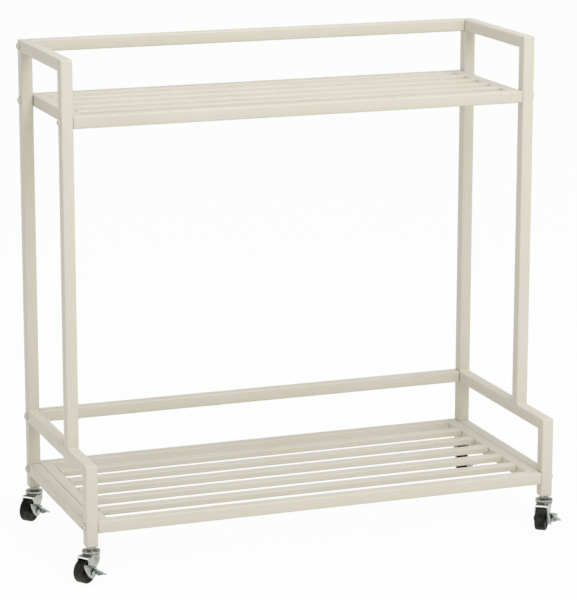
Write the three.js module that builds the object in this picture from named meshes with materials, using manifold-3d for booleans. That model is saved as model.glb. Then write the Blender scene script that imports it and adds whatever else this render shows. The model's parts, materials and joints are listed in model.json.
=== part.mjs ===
// A two-tier flower cart of square steel tube on four swivel casters with brake levers.
// Millimetres, +Z up, floor at z = 0, front towards -Y. The origin is on the floor under the middle of
// the cart with its casters turned as they stand.
import * as THREE from "three";
import { mergeVertices } from "three/addons/utils/BufferGeometryUtils.js";
import Module from "manifold-3d";

// Fits between neighbouring pieces.
const SEAM = 0.3; // gap between two mitred ends, and between pieces inside a turned caster
const BOLT_FIT = 0.3; // round a bolt's shank
const STEM_FIT = 0.3; // round a caster's stem
const AXLE_FIT = 0.3; // round an axle
const LAP = 0.5; // overlap of two shapes that are joined into one piece

// Square tube of the frame.
const TUBE = 19; // outside width
const TUBE_WALL = 1.2;
const TUBE_CORNER = 2; // outside corner radius
const CORNER_STEPS = 2; // facets of a rounded corner

// The frame, with heights above the bottoms of the posts.
const FRAME_WIDTH = 780;
const LOWER_DEPTH = 349; // rear uprights' rear faces to front posts' front faces
const UPPER_DEPTH = 249; // rear uprights' rear faces to front uprights' front faces
const REAR_Y = 184; // rear faces of the rear uprights
const FRAME_HEIGHT = 733; // to the top of the top rails
const MIDDLE_RAIL_TOP = 129.5;
const UPPER_SHELF_DROP = 86.5; // tops of the top rails to the top of the upper shelf
const LOWER_SHELF_TOP = 41;
const END_WALL = 3; // plug in the end of a bolted rail
const POST_PLUG = 8; // plug in the foot of a post, threaded for the caster's stem

// Shelf slats of flat rectangular tube.
const SLAT_WIDTH = 19;
const SLAT_HEIGHT = 9.5;
const SLAT_WALL = 1.2;
const SLAT_CORNER = 1.6;
const UPPER_SLATS = 4;
const LOWER_SLATS = 5;

// Domed bolts.
const BOLT_SIZE = 6; // shank diameter
const BOLT_HEAD = 12.5;
const BOLT_HEAD_HEIGHT = 4;
const BOLT_HEAD_RIM = 0.6; // straight edge under the dome
const BOLT_REACH = 3; // shank past the plug of the rail it holds
const BOLT_FACETS = 12;
const DOME_STEPS = 3;

// Caster stem with jam nut and swivel race, with drops below the post.
const STEM_SIZE = 8;
const STEM_RISE = 14; // up into the post
const NUT_FLATS = 13;
const NUT_HEIGHT = 3.4;
const NECK_SIZE = 15;
const NECK_HEIGHT = 0.9;
const RACE_SIZE = 28;
const RACE_DISH = 1.3; // height of the sloped shoulder above the rim
const RACE_RIM = 3.7; // height of the rim
const RACE_EDGE = 0.6; // bevel under the rim
const RACE_HUB = 20;
const RACE_HUB_HEIGHT = 1.3;
const RIVET_SIZE = 13;
const RIVET_TIP = 9.1;
const RIVET_HEIGHT = 1.6;
const RACE_FACETS = 20;
const STEM_HOLE_FACETS = 12;

// Wheel.
const WHEEL_SIZE = 37;
const WHEEL_WIDTH = 17;
const WHEEL_SHOULDER = 2.6; // rounding of the tread's edges
const WHEEL_RECESS = 1.2; // depth of the ring let into each side
const WHEEL_RECESS_IN = 6;
const WHEEL_RECESS_OUT = 14.5;
const RECESS_SLOPE = 0.8;
const WHEEL_FACETS = 24;

// Fork.
const TRAIL = 16; // swivel axis to axle
const CROWN_THICK = 2.1;
const CROWN_FRONT = 20; // swivel axis to the crown's front edge
const CROWN_LIP = 1.7; // drop of the bent front edge
const CUP_SIZE = 26.8; // round rear of the crown, raised to a cup under the race
const CUP_INSIDE = 21.6;
const CUP_RISE = 1.1;
const CUP_EDGE = 0.5; // bevel on the cup's upper edge
const WHEEL_HEADROOM = 3; // crown to tread
const WHEEL_SIDE_GAP = 1.3; // wheel to leg
const LEG_THICK = 1.5;
const LEG_FRONT_DROP = 8.6; // crown to the leg's front corner
const LEG_END = 6; // radius of the leg's lower end
const LEG_END_STEPS = 5;
const LEG_WRAP = 126; // degrees of the leg's lower end, from its front edge
// Rear edge of the leg, [trail, drop] from the axle, then from the swivel axis and the crown's underside.
const LEG_SWEEP = [[-14.4, -3.1], [-18.5, -6.8], [-21.9, -11.2], [-23.6, -15]];
const LEG_ROOT = [[-8.5, 2.5], [-7.2, 0]];

// Axle.
const AXLE_SIZE = 5;
const AXLE_HEAD = 9;
const AXLE_HEAD_TOP = 6.3;
const AXLE_HEAD_HEIGHT = 1.6;
const AXLE_HEAD_RIM = 0.5;
const AXLE_FACETS = 12;

// Brake lever.
const LEVER_THICK = 2;
const LEVER_STANDOFF = 2.2; // leg to lever plate
const LEVER_HUB = 14;
const LEVER_HUB_RISE = 0.5; // hub past the plate's outer face
const PEDAL_THICK = 2;
const PEDAL_SLOPE = 35.4; // degrees of fall towards the swivel axis
const PEDAL_AT = [2.5, -9.7]; // start of its edge on the plate, [trail, drop] from the axle
// Outline of the lever plate, [trail, drop] from the axle.
const LEVER_OUTLINE = [
  [18.3, -16.2], [17.8, -11.9], [15.7, -6], [12.2, -0.1], [7.3, 5.3], [2.9, 8.7],
  [-2.6, 9.2], [-6.6, 7.8], [-8.5, -3.5], [0, -8], [7.4, -13.1], [13.7, -15.4],
];
// Outline of the forked pedal, [along the plate's edge, outwards].
const PEDAL_OUTLINE = [
  [-8, -1.5], [15, -1.5], [26, 9.5], [24.5, 13], [21.5, 13], [5.8, 7.3], [-2.5, 12], [-6, 12.2],
  [-7.5, 10.5],
];
// Web from the pedal's rear edge down to the plate, [outwards, trail, drop] from plate and axle.
const PEDAL_WEB = [[0, -9.7, -1], [9.5, -18.7, 5.4], [3.5, -9.1, 6.7], [0, -7.9, 4.4]];
const PEDAL_WEB_BACK = [-1.1, -0.8, 0.6]; // from its front face to its rear face

// Casters: swivel angle of each, from trailing straight forward, turned towards -X.
const FRONT_LEFT_TURN = 55;
const REAR_LEFT_TURN = 46;
const FRONT_RIGHT_TURN = 37.5;
const REAR_RIGHT_TURN = 20;

const CREAM = new THREE.MeshStandardMaterial({ color: 0xe6e0d2, roughness: 0.45, metalness: 0.1 });
const ZINC = new THREE.MeshStandardMaterial({ color: 0xb9bbb8, roughness: 0.3, metalness: 0.9 });
const LEVER_ZINC = new THREE.MeshStandardMaterial({ color: 0xa3b3aa, roughness: 0.35, metalness: 0.85 });
const BLACK = new THREE.MeshStandardMaterial({ color: 0x1d1b1a, roughness: 0.6, metalness: 0 });

const wasm = await Module();
wasm.setup();

// A closed three.js geometry as a manifold solid.
function solid(geometry) {
  const bare = geometry.clone();
  bare.deleteAttribute("normal");
  bare.deleteAttribute("uv");
  const merged = mergeVertices(bare);
  const index = merged.index.array;
  const kept = [];
  for (let i = 0; i < index.length; i += 3) {
    const [a, b, c] = [index[i], index[i + 1], index[i + 2]];
    if (a !== b && b !== c && c !== a) kept.push(a, b, c);
  }
  return new wasm.Manifold(
    new wasm.Mesh({
      numProp: 3,
      vertProperties: new Float32Array(merged.attributes.position.array),
      triVerts: new Uint32Array(kept),
    }),
  );
}

// A manifold solid as a three.js mesh.
function meshOf(name, body, material) {
  const data = body.getMesh();
  const geometry = new THREE.BufferGeometry();
  geometry.setAttribute("position", new THREE.BufferAttribute(data.vertProperties, 3));
  geometry.setIndex(new THREE.BufferAttribute(data.triVerts, 1));
  geometry.computeVertexNormals();
  const mesh = new THREE.Mesh(geometry, material.clone());
  mesh.name = name;
  return mesh;
}

const X = new THREE.Vector3(1, 0, 0);
const Y = new THREE.Vector3(0, 1, 0);
const Z = new THREE.Vector3(0, 0, 1);
// Turns a shape drawn in (u, v) and extruded along w: (u, v, w) become (Y, Z, X), (Z, X, Y) or (X, Y, Z).
const ALONG = {
  x: new THREE.Matrix4().makeBasis(Y, Z, X),
  y: new THREE.Matrix4().makeBasis(Z, X, Y),
  z: new THREE.Matrix4().makeBasis(X, Y, Z),
};

// Corner points of a rounded rectangle about the origin, anticlockwise.
function roundedOutline(width, height, radius, steps) {
  const points = [];
  const corners = [[1, 1, 0], [-1, 1, 90], [-1, -1, 180], [1, -1, 270]];
  for (const [sx, sy, start] of corners) {
    for (let i = 0; i <= steps; i++) {
      const a = THREE.MathUtils.degToRad(start + (90 * i) / steps);
      const x = sx * (width / 2 - radius) + radius * Math.cos(a);
      const y = sy * (height / 2 - radius) + radius * Math.sin(a);
      points.push(new THREE.Vector2(x, y));
    }
  }
  return points;
}

function circleOutline(radius, facets) {
  const points = [];
  for (let i = 0; i < facets; i++) {
    const a = (2 * Math.PI * i) / facets;
    points.push(new THREE.Vector2(radius * Math.cos(a), radius * Math.sin(a)));
  }
  return points;
}

// A prism on an outline, from w = start to w = end along an axis, then moved.
// A mitre is the pair of slopes [du, dv] by which an end leans along the axis.
function prism(axis, outline, start, end, at = [0, 0, 0], startMitre = [0, 0], endMitre = [0, 0]) {
  const shape = new THREE.Shape(outline);
  const geometry = new THREE.ExtrudeGeometry(shape, { depth: end - start, bevelEnabled: false });
  const position = geometry.attributes.position;
  for (let i = 0; i < position.count; i++) {
    const [u, v, w] = [position.getX(i), position.getY(i), position.getZ(i)];
    const atEnd = w > (end - start) / 2;
    const [du, dv] = atEnd ? endMitre : startMitre;
    position.setZ(i, (atEnd ? end : start) + u * du + v * dv);
  }
  geometry.applyMatrix4(ALONG[axis]);
  geometry.translate(...at);
  return solid(geometry);
}

// A solid turned about an axis through a point from a closed profile of [radius, along] points.
function turned(axis, profile, facets, at = [0, 0, 0]) {
  const points = profile.map(([r, a]) => new THREE.Vector2(r, a));
  const geometry = new THREE.LatheGeometry([...points, points[0]], facets);
  const turn = { x: [Z, X, Y], y: [X, Y, Z], z: [Y, Z, X] }[axis];
  geometry.applyMatrix4(new THREE.Matrix4().makeBasis(...turn));
  geometry.translate(...at);
  return solid(geometry);
}

// Hollow rectangular tube along an axis. A walled end is plugged by that thickness, an open one is not.
function tube(axis, section, start, end, at, { startMitre, endMitre, startWall = 0, endWall = 0 } = {}) {
  const { width, height, corner, wall } = section;
  const outer = roundedOutline(width, height, corner, CORNER_STEPS);
  const inner = roundedOutline(width - 2 * wall, height - 2 * wall, corner - wall, 1);
  const past = Math.max(width, height);
  const coreStart = startWall ? start + startWall : start - past;
  const coreEnd = endWall ? end - endWall : end + past;
  const skin = prism(axis, outer, start, end, at, startMitre, endMitre);
  return skin.subtract(prism(axis, inner, coreStart, coreEnd, at));
}

const SQUARE = { width: TUBE, height: TUBE, corner: TUBE_CORNER, wall: TUBE_WALL };
const HALF = TUBE / 2;
const MITRE_CUT = SEAM / Math.SQRT2; // taken off each mitred end along its tube

const WHEEL_R = WHEEL_SIZE / 2;
const RACE_TOP = NUT_HEIGHT + NECK_HEIGHT;
const RACE_BOTTOM = RACE_TOP + RACE_DISH + RACE_RIM + RACE_HUB_HEIGHT;
const CROWN_TOP = RACE_BOTTOM + SEAM;
const CROWN_BOTTOM = CROWN_TOP + CROWN_THICK;
const AXLE_DROP = CROWN_BOTTOM + WHEEL_HEADROOM + WHEEL_R;
const POST_FOOT = AXLE_DROP + WHEEL_R; // height of the posts' bottoms over the floor

const INSIDE_X = FRAME_WIDTH / 2 - TUBE; // inner faces of the side frames
const SIDE_X = FRAME_WIDTH / 2 - HALF; // middle of the side frames' tubes
const REAR_POST_Y = REAR_Y - HALF;
const FRONT_UPRIGHT_Y = REAR_Y - UPPER_DEPTH + HALF;
const FRONT_POST_Y = REAR_Y - LOWER_DEPTH + HALF;
const TOP_RAIL_Z = POST_FOOT + FRAME_HEIGHT - HALF;
const UPPER_SHELF_Z = TOP_RAIL_Z - UPPER_SHELF_DROP;
const MIDDLE_RAIL_Z = POST_FOOT + MIDDLE_RAIL_TOP - HALF;
const LOWER_SHELF_Z = POST_FOOT + LOWER_SHELF_TOP - HALF;

const cart = new THREE.Group();
cart.name = "flower_cart_stand";

const BOLT_HOLE = circleOutline(BOLT_SIZE / 2 + BOLT_FIT, BOLT_FACETS);
const STEM_HOLE = circleOutline(STEM_SIZE / 2 + STEM_FIT, STEM_HOLE_FACETS);

function boltHole(body, y, z) {
  return body.subtract(prism("x", BOLT_HOLE, -FRAME_WIDTH, FRAME_WIDTH, [0, y, z]));
}

function stemHole(body, x, y) {
  return body.subtract(prism("z", STEM_HOLE, 0, POST_FOOT + POST_PLUG + 1, [x, y, 0]));
}

// One side frame at x: the uprights and post stand, the rails run from front to back.
function sideFrame(side, x) {
  const add = (name, body) => cart.add(meshOf(side + "_" + name, body, CREAM));
  let rear = tube("z", SQUARE, POST_FOOT, TOP_RAIL_Z - MITRE_CUT, [x, REAR_POST_Y, 0], {
    endMitre: [0, 1],
    startWall: POST_PLUG,
  });
  for (const z of [TOP_RAIL_Z, UPPER_SHELF_Z, MIDDLE_RAIL_Z, LOWER_SHELF_Z]) {
    rear = boltHole(rear, REAR_POST_Y, z);
  }
  add("rear_upright", stemHole(rear, x, REAR_POST_Y));
  const upright = tube("z", SQUARE, MIDDLE_RAIL_Z + HALF, TOP_RAIL_Z - MITRE_CUT, [x, FRONT_UPRIGHT_Y, 0], {
    endMitre: [0, -1],
  });
  add("front_upright", boltHole(upright, FRONT_UPRIGHT_Y, UPPER_SHELF_Z));
  const post = tube("z", SQUARE, POST_FOOT, MIDDLE_RAIL_Z - MITRE_CUT, [x, FRONT_POST_Y, 0], {
    endMitre: [0, -1],
    startWall: POST_PLUG,
  });
  add("front_post", stemHole(boltHole(post, FRONT_POST_Y, LOWER_SHELF_Z), x, FRONT_POST_Y));
  const topRail = tube("y", SQUARE, FRONT_UPRIGHT_Y + MITRE_CUT, REAR_POST_Y - MITRE_CUT, [x, 0, TOP_RAIL_Z], {
    startMitre: [-1, 0],
    endMitre: [1, 0],
  });
  add("top_rail", boltHole(topRail, REAR_POST_Y, TOP_RAIL_Z));
  const middleRail = tube("y", SQUARE, FRONT_POST_Y + MITRE_CUT, REAR_POST_Y - HALF, [x, 0, MIDDLE_RAIL_Z], {
    startMitre: [-1, 0],
  });
  add("middle_rail", middleRail);
  const between = [FRONT_POST_Y + HALF, REAR_POST_Y - HALF];
  add("bottom_rail", tube("y", SQUARE, ...between, [x, 0, LOWER_SHELF_Z]));
}

// A rail across the back between the side frames, plugged at both ends for its bolts.
function backRail(name, z) {
  const ends = { startWall: END_WALL, endWall: END_WALL };
  const rail = tube("x", SQUARE, -INSIDE_X, INSIDE_X, [0, REAR_POST_Y, z], ends);
  cart.add(meshOf(name, boltHole(rail, REAR_POST_Y, z), CREAM));
}

// A shelf: a welded frame of four tubes with their insides joined, and slats along it.
function shelf(name, frontY, z, count) {
  const ring = (width, corner, steps, endX, barEnd) => {
    const outline = roundedOutline(width, width, corner, steps);
    const front = prism("x", outline, -endX, endX, [0, frontY, z]);
    const back = prism("x", outline, -endX, endX, [0, REAR_POST_Y, z]);
    const left = prism("y", outline, frontY - barEnd, REAR_POST_Y + barEnd, [-INSIDE_X + HALF, 0, z]);
    const right = prism("y", outline, frontY - barEnd, REAR_POST_Y + barEnd, [INSIDE_X - HALF, 0, z]);
    return front.add(back).add(left).add(right);
  };
  const coreWidth = TUBE - 2 * TUBE_WALL;
  const skin = ring(TUBE, TUBE_CORNER, CORNER_STEPS, INSIDE_X, 0);
  const core = ring(coreWidth, TUBE_CORNER - TUBE_WALL, 1, INSIDE_X - END_WALL, 0);
  const frame = boltHole(boltHole(skin.subtract(core), frontY, z), REAR_POST_Y, z);
  cart.add(meshOf(name + "_frame", frame, CREAM));
  const slat = { width: SLAT_WIDTH, height: SLAT_HEIGHT, corner: SLAT_CORNER, wall: SLAT_WALL };
  const clear = REAR_POST_Y - frontY - TUBE;
  const gap = (clear - count * SLAT_WIDTH) / (count + 1);
  const slatEnd = INSIDE_X - TUBE;
  for (let i = 0; i < count; i++) {
    const y = frontY + HALF + gap + SLAT_WIDTH / 2 + i * (gap + SLAT_WIDTH);
    const body = tube("x", slat, -slatEnd, slatEnd, [0, y, z + HALF - SLAT_HEIGHT / 2]);
    cart.add(meshOf(name + "_slat_" + (i + 1), body, CREAM));
  }
}

// A domed bolt through the side frame on the side of sign, its head on the outer face.
function bolt(name, sign, y, z) {
  const r = BOLT_HEAD / 2;
  const dome = BOLT_HEAD_HEIGHT - BOLT_HEAD_RIM;
  const shank = TUBE + END_WALL + BOLT_REACH;
  const profile = [[0, -shank], [BOLT_SIZE / 2, -shank], [BOLT_SIZE / 2, 0], [r, 0]];
  for (let i = 0; i < DOME_STEPS; i++) {
    const a = (Math.PI * i) / (2 * DOME_STEPS);
    profile.push([r * Math.cos(a), BOLT_HEAD_RIM + dome * Math.sin(a)]);
  }
  profile.push([0, BOLT_HEAD_HEIGHT]);
  const mesh = meshOf(name, turned("x", profile, BOLT_FACETS), CREAM);
  if (sign < 0) mesh.rotation.z = Math.PI;
  mesh.position.set((sign * FRAME_WIDTH) / 2, y, z);
  cart.add(mesh);
}

// Pieces of a caster, drawn about its swivel axis with the post's bottom at z = 0, the wheel trailing
// towards -Y and the brake lever on the +X side. Outlines in the plane of the wheel are [trail, drop].
const LEG_INSIDE = WHEEL_WIDTH / 2 + WHEEL_SIDE_GAP;
const LEG_OUTSIDE = LEG_INSIDE + LEG_THICK;
const PLATE_INSIDE = LEG_OUTSIDE + LEVER_STANDOFF;
const PLATE_OUTSIDE = PLATE_INSIDE + LEVER_THICK;
const HUB_OUTSIDE = PLATE_OUTSIDE + LEVER_HUB_RISE;

const sideView = (points) => points.map(([t, h]) => new THREE.Vector2(-t, -h));
const byAxle = ([t, h]) => [TRAIL + t, AXLE_DROP + h];
const byCrown = ([t, h]) => [t, CROWN_BOTTOM + h];

function stemBody() {
  const nut = prism("z", circleOutline(NUT_FLATS / Math.sqrt(3), 6), -NUT_HEIGHT, 0);
  const [stem, neck, race, hub] = [STEM_SIZE, NECK_SIZE, RACE_SIZE, RACE_HUB].map((size) => size / 2);
  const dishBottom = -RACE_TOP - RACE_DISH;
  const rimBottom = dishBottom - RACE_RIM;
  const rivetTop = -CROWN_BOTTOM - SEAM;
  const profile = [
    [0, rivetTop - RIVET_HEIGHT],
    [RIVET_TIP / 2, rivetTop - RIVET_HEIGHT],
    [RIVET_SIZE / 2, rivetTop],
    [stem, rivetTop],
    [stem, -RACE_BOTTOM],
    [hub, -RACE_BOTTOM],
    [hub, rimBottom],
    [race - RACE_EDGE, rimBottom],
    [race, rimBottom + RACE_EDGE],
    [race, dishBottom],
    [neck, -RACE_TOP],
    [neck, -NUT_HEIGHT + LAP],
    [stem, -NUT_HEIGHT + LAP],
    [stem, STEM_RISE],
    [0, STEM_RISE],
  ];
  return nut.add(turned("z", profile, RACE_FACETS));
}

// The crown: a round rear raised to a cup, and a square front with a bent edge.
function crownBody() {
  const [cup, inside] = [CUP_SIZE / 2, CUP_INSIDE / 2];
  const cupTop = -CROWN_TOP + CUP_RISE;
  const profile = [[0, -CROWN_BOTTOM], [cup, -CROWN_BOTTOM], [cup, cupTop - CUP_EDGE]];
  profile.push([cup - CUP_EDGE, cupTop], [inside, cupTop], [inside, -CROWN_TOP], [0, -CROWN_TOP]);
  const front = [[0, CROWN_TOP], [CROWN_FRONT, CROWN_TOP], [CROWN_FRONT, CROWN_BOTTOM + CROWN_LIP]];
  front.push([CROWN_FRONT - LEG_THICK, CROWN_BOTTOM + CROWN_LIP], [CROWN_FRONT - LEG_THICK, CROWN_BOTTOM]);
  front.push([0, CROWN_BOTTOM]);
  const square = prism("x", sideView(front).reverse(), -LEG_OUTSIDE, LEG_OUTSIDE);
  return turned("z", profile, RACE_FACETS).add(square);
}

function forkBody() {
  const leg = [[CROWN_FRONT, CROWN_TOP + LAP], byCrown([CROWN_FRONT, LEG_FRONT_DROP])];
  for (let i = 0; i <= LEG_END_STEPS; i++) {
    const a = THREE.MathUtils.degToRad((LEG_WRAP * i) / LEG_END_STEPS);
    leg.push(byAxle([LEG_END * Math.cos(a), LEG_END * Math.sin(a)]));
  }
  leg.push(...LEG_SWEEP.map(byAxle), ...LEG_ROOT.map(byCrown), [LEG_ROOT[1][0], CROWN_TOP + LAP]);
  let fork = crownBody();
  for (const inside of [LEG_INSIDE, -LEG_OUTSIDE]) {
    fork = fork.add(prism("x", sideView(leg).reverse(), inside, inside + LEG_THICK));
  }
  fork = fork.subtract(prism("z", STEM_HOLE, -CROWN_BOTTOM - 1, 0));
  const axleHole = circleOutline(AXLE_SIZE / 2 + AXLE_FIT, AXLE_FACETS);
  return fork.subtract(prism("x", axleHole, -LEG_OUTSIDE - 1, LEG_OUTSIDE + 1, [0, -TRAIL, -AXLE_DROP]));
}

function wheelBody() {
  const half = WHEEL_WIDTH / 2;
  const bore = AXLE_SIZE / 2 + AXLE_FIT;
  const side = [[bore, half], [WHEEL_RECESS_IN, half], [WHEEL_RECESS_IN + RECESS_SLOPE, half - WHEEL_RECESS]];
  side.push([WHEEL_RECESS_OUT - RECESS_SLOPE, half - WHEEL_RECESS], [WHEEL_RECESS_OUT, half]);
  for (let i = 0; i <= CORNER_STEPS; i++) {
    const a = (Math.PI * i) / (2 * CORNER_STEPS);
    const r = WHEEL_R - WHEEL_SHOULDER * (1 - Math.sin(a));
    side.push([r, half - WHEEL_SHOULDER * (1 - Math.cos(a))]);
  }
  const other = side.map(([r, s]) => [r, -s]);
  return turned("x", [...other, ...side.reverse()], WHEEL_FACETS, [0, -TRAIL, -AXLE_DROP]);
}

function axleBody() {
  const [pin, head, top] = [AXLE_SIZE, AXLE_HEAD, AXLE_HEAD_TOP].map((size) => size / 2);
  const left = -LEG_OUTSIDE - SEAM;
  const right = HUB_OUTSIDE + SEAM;
  const profile = [
    [0, left - AXLE_HEAD_HEIGHT],
    [top, left - AXLE_HEAD_HEIGHT],
    [head, left - AXLE_HEAD_RIM],
    [head, left],
    [pin, left],
    [pin, right],
    [head, right],
    [head, right + AXLE_HEAD_RIM],
    [top, right + AXLE_HEAD_HEIGHT],
    [0, right + AXLE_HEAD_HEIGHT],
  ];
  return turned("x", profile, AXLE_FACETS, [0, -TRAIL, -AXLE_DROP]);
}

// The lever is a plate beside the wheel, with a forked pedal bent out along its upper edge.
function leverBody() {
  const axle = [0, -TRAIL, -AXLE_DROP];
  const plate = prism("x", sideView(LEVER_OUTLINE.map(byAxle)).reverse(), PLATE_INSIDE, PLATE_OUTSIDE);
  const hub = prism("x", circleOutline(LEVER_HUB / 2, RACE_FACETS), LEG_OUTSIDE + SEAM, HUB_OUTSIDE, axle);
  const pedal = prism("z", PEDAL_OUTLINE.map(([k, s]) => new THREE.Vector2(k, s)), 0, PEDAL_THICK);
  const slope = THREE.MathUtils.degToRad(PEDAL_SLOPE);
  const along = new THREE.Vector3(0, Math.cos(slope), -Math.sin(slope));
  const place = new THREE.Matrix4().makeBasis(along, X, along.clone().cross(X));
  const [trail, drop] = byAxle(PEDAL_AT);
  place.setPosition(PLATE_OUTSIDE, -trail, -drop);
  const front = PEDAL_WEB.map(([out, t, h]) => [PLATE_OUTSIDE + out, -TRAIL - t, -AXLE_DROP - h]);
  const [back, rearTrail, rearDrop] = PEDAL_WEB_BACK;
  const rear = front.map(([x, y, z]) => [x + back, y - rearTrail, z - rearDrop]);
  const web = wasm.Manifold.hull([...front, ...rear]);
  const axleHole = circleOutline(AXLE_SIZE / 2 + AXLE_FIT, AXLE_FACETS);
  const lever = plate.add(hub).add(pedal.transform(place.elements)).add(web);
  return lever.subtract(prism("x", axleHole, LEG_OUTSIDE, HUB_OUTSIDE + 1, axle));
}

function caster(name, x, y, turn) {
  const group = new THREE.Group();
  group.name = name + "_caster";
  group.add(meshOf(name + "_caster_stem", stemBody(), ZINC));
  group.add(meshOf(name + "_caster_fork", forkBody(), ZINC));
  group.add(meshOf(name + "_caster_wheel", wheelBody(), BLACK));
  group.add(meshOf(name + "_caster_axle", axleBody(), ZINC));
  group.add(meshOf(name + "_brake_lever", leverBody(), LEVER_ZINC));
  group.position.set(x, y, POST_FOOT);
  group.rotation.z = -THREE.MathUtils.degToRad(turn);
  cart.add(group);
}

for (const [side, sign] of [["left", -1], ["right", 1]]) {
  sideFrame(side, sign * SIDE_X);
  bolt(side + "_bolt_rear_top", sign, REAR_POST_Y, TOP_RAIL_Z);
  bolt(side + "_bolt_rear_upper_shelf", sign, REAR_POST_Y, UPPER_SHELF_Z);
  bolt(side + "_bolt_rear_middle", sign, REAR_POST_Y, MIDDLE_RAIL_Z);
  bolt(side + "_bolt_rear_lower_shelf", sign, REAR_POST_Y, LOWER_SHELF_Z);
  bolt(side + "_bolt_front_upper_shelf", sign, FRONT_UPRIGHT_Y, UPPER_SHELF_Z);
  bolt(side + "_bolt_front_lower_shelf", sign, FRONT_POST_Y, LOWER_SHELF_Z);
}
backRail("back_top_rail", TOP_RAIL_Z);
backRail("back_lower_rail", MIDDLE_RAIL_Z);
shelf("upper_shelf", FRONT_UPRIGHT_Y, UPPER_SHELF_Z, UPPER_SLATS);
shelf("lower_shelf", FRONT_POST_Y, LOWER_SHELF_Z, LOWER_SLATS);
caster("front_left", -SIDE_X, FRONT_POST_Y, FRONT_LEFT_TURN);
caster("front_right", SIDE_X, FRONT_POST_Y, FRONT_RIGHT_TURN);
caster("rear_left", -SIDE_X, REAR_POST_Y, REAR_LEFT_TURN);
caster("rear_right", SIDE_X, REAR_POST_Y, REAR_RIGHT_TURN);

export default cart;
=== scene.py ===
"""Looks of a two-tier flower cart: enamelled square tube, slatted shelves and zinc casters."""

import json
import math

import bmesh
import bpy
from mathutils import Matrix, Vector


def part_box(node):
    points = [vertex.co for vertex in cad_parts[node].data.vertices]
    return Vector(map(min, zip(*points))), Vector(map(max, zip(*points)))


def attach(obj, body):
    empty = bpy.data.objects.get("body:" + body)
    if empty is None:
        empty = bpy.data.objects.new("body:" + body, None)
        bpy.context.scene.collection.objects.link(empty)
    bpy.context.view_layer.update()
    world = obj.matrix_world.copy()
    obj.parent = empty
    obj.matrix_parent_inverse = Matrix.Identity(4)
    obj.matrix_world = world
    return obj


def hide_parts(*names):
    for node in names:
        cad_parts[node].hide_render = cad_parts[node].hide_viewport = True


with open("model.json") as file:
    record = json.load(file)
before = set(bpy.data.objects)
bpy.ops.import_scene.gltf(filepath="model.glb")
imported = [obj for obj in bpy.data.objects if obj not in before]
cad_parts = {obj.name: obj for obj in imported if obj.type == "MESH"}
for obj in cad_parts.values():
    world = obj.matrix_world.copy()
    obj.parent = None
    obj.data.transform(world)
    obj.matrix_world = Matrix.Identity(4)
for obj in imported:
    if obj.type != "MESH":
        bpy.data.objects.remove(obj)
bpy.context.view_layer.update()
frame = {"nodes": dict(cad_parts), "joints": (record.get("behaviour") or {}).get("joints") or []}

MM = 0.001
X, Y, Z = Vector((1, 0, 0)), Vector((0, 1, 0)), Vector((0, 0, 1))
NEAR = 1e-6
VERY_NEAR = 1e-7

# Sizes read from the frame.
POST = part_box("left_front_post")
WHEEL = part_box("front_left_caster_wheel")
TUBE = POST[1].x - POST[0].x
POST_FOOT = POST[0].z
WHEEL_RADIUS = (WHEEL[1].z - WHEEL[0].z) / 2
SIDE_FACE_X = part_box("right_front_post")[1].x

# Enamelled tube.
TUBE_CORNER = 2.2 * MM
SLAT_CORNER = 1.7 * MM
CORNER_SEGMENTS = 5
BUTT_EASE = 0.9 * MM
FOOT_ROUNDING = 3.4 * MM
EASE_SEGMENTS = 3
MITRE_FILL = 0.15 * MM
TIP_ROUNDING = 3.4 * MM
TIP_TURNS = (13, 26, 39)  # degrees of the cuts that round a mitre's tip
WELD_SIZE = 2.4 * MM
WELD_STEPS = 5
WELD_ROOT = 0.15  # share of its size by which a weld reaches into its corner
WELD_INSET = 0.6  # share of the tube's rounding left bare at a weld's ends

# Domed bolts.
BOLT_HEAD_RADIUS = 6.25 * MM
BOLT_HEAD_HEIGHT = 4.0 * MM
BOLT_FLANGE = 0.8 * MM
BOLT_RIM_EASE = 0.2 * MM
BOLT_SHANK_RADIUS = 3.0 * MM
BOLT_SHANK_LENGTH = 24.0 * MM
BOLT_STEPS = 48
DOME_STEPS = 9
SOCKET_FLATS = 4.0 * MM
SOCKET_DEPTH = 2.2 * MM

# Caster stem and race, with drops below the post's foot.
CLEARANCE = 0.3 * MM  # between pieces that turn on one another
NUT_FLATS = 13.0 * MM
NUT_HEIGHT = 3.4 * MM
NUT_CHAMFER = 0.8 * MM
NUT_CONE = 0.35 * MM  # middle of the chamfer's slope, outside the flats
STEM_RADIUS = 4.0 * MM
STEM_RISE = 14.0 * MM
STEM_TIP = 0.5 * MM
STEM_TIP_EASE = 0.6 * MM
COLLAR_RADIUS = 7.2 * MM
COLLAR_EASE = 0.3 * MM
COLLAR_SINK = 0.2 * MM
RACE_RADIUS = 14.0 * MM
RACE_TOP = 4.3 * MM
RACE_FLAT_RADIUS = 8.0 * MM
RACE_SLOPE_RADIUS = 9.2 * MM
RACE_SLOPE_DROP = 0.25 * MM
RACE_SHOULDER = 5.6 * MM
RACE_LIP = 9.3 * MM
RACE_ROLL = 1.2 * MM
RACE_RIM = 2.6 * MM  # width of the rim seen from below
RACE_WALL = 3.4 * MM
RACE_HOLLOW = 0.9 * MM
RACE_HUB_RADIUS = 10.0 * MM
RACE_HUB_LEAN = 0.4 * MM
RIVET_RADIUS = 6.5 * MM
RIVET_TIP_RADIUS = 4.0 * MM
RIVET_HEIGHT = 1.6 * MM
RIVET_ROUNDING = 1.0 * MM

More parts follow.
